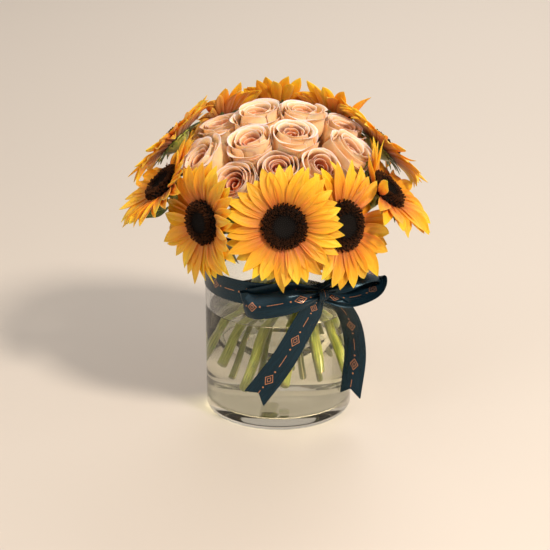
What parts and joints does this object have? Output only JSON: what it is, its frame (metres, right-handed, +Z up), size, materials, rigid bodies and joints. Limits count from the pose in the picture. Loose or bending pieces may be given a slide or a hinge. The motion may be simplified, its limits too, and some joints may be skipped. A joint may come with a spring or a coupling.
{
  "type": "sunflowers in a vase",
  "caption": "Hand-tied bunch of sunflowers round a dome of peach roses, standing in a glass cylinder vase of water with a satin ribbon and bow.",
  "frame": {"origin": "centre of the vase's foot, on the surface it stands on", "axes": "+Z up, -Y towards the front of the arrangement, +X to its right"},
  "size_m": [0.3105, 0.2632, 0.3271],
  "materials": {
    "clear_glass": "clear, polished",
    "water": "clear liquid",
    "navy_satin": "woven satin, soft sheen",
    "sunflower_petal": "matte, finely ribbed",
    "sunflower_disc": "rough florets",
    "sunflower_stem": "ribbed, slightly hairy",
    "rose_petal": "soft matte",
    "rose_stem": "smooth with nodes"
  },
  "bodies": {
    "root": {"vase": "clear_glass", "water": "water", "ribbon_band": "navy_satin", "ribbon_bow": "navy_satin", "sunflower_01_petals": "sunflower_petal", "sunflower_01_disc": "sunflower_disc", "sunflower_01_stem": "sunflower_stem", "sunflower_02_petals": "sunflower_petal", "sunflower_02_disc": "sunflower_disc", "sunflower_02_stem": "sunflower_stem", "sunflower_03_petals": "sunflower_petal", "sunflower_03_disc": "sunflower_disc", "sunflower_03_stem": "sunflower_stem", "sunflower_04_petals": "sunflower_petal", "sunflower_04_disc": "sunflower_disc", "sunflower_04_stem": "sunflower_stem", "sunflower_05_petals": "sunflower_petal", "sunflower_05_disc": "sunflower_disc", "sunflower_05_stem": "sunflower_stem", "sunflower_06_petals": "sunflower_petal", "sunflower_06_disc": "sunflower_disc", "sunflower_06_stem": "sunflower_stem", "sunflower_07_petals": "sunflower_petal", "sunflower_07_disc": "sunflower_disc", "sunflower_07_stem": "sunflower_stem", "sunflower_08_petals": "sunflower_petal", "sunflower_08_disc": "sunflower_disc", "sunflower_08_stem": "sunflower_stem", "sunflower_09_petals": "sunflower_petal", "sunflower_09_disc": "sunflower_disc", "sunflower_09_stem": "sunflower_stem", "sunflower_10_petals": "sunflower_petal", "sunflower_10_disc": "sunflower_disc", "sunflower_10_stem": "sunflower_stem", "rose_01_bloom": "rose_petal", "rose_01_stem": "rose_stem", "rose_02_bloom": "rose_petal", "rose_02_stem": "rose_stem", "rose_03_bloom": "rose_petal", "rose_03_stem": "rose_stem", "rose_04_bloom": "rose_petal", "rose_04_stem": "rose_stem", "rose_05_bloom": "rose_petal", "rose_05_stem": "rose_stem", "rose_06_bloom": "rose_petal", "rose_06_stem": "rose_stem", "rose_07_bloom": "rose_petal", "rose_07_stem": "rose_stem", "rose_08_bloom": "rose_petal", "rose_08_stem": "rose_stem", "rose_09_bloom": "rose_petal", "rose_09_stem": "rose_stem", "rose_10_bloom": "rose_petal", "rose_10_stem": "rose_stem", "rose_11_bloom": "rose_petal", "rose_11_stem": "rose_stem", "rose_12_bloom": "rose_petal", "rose_12_stem": "rose_stem", "rose_13_bloom": "rose_petal", "rose_13_stem": "rose_stem"}
  },
  "joints": []
}
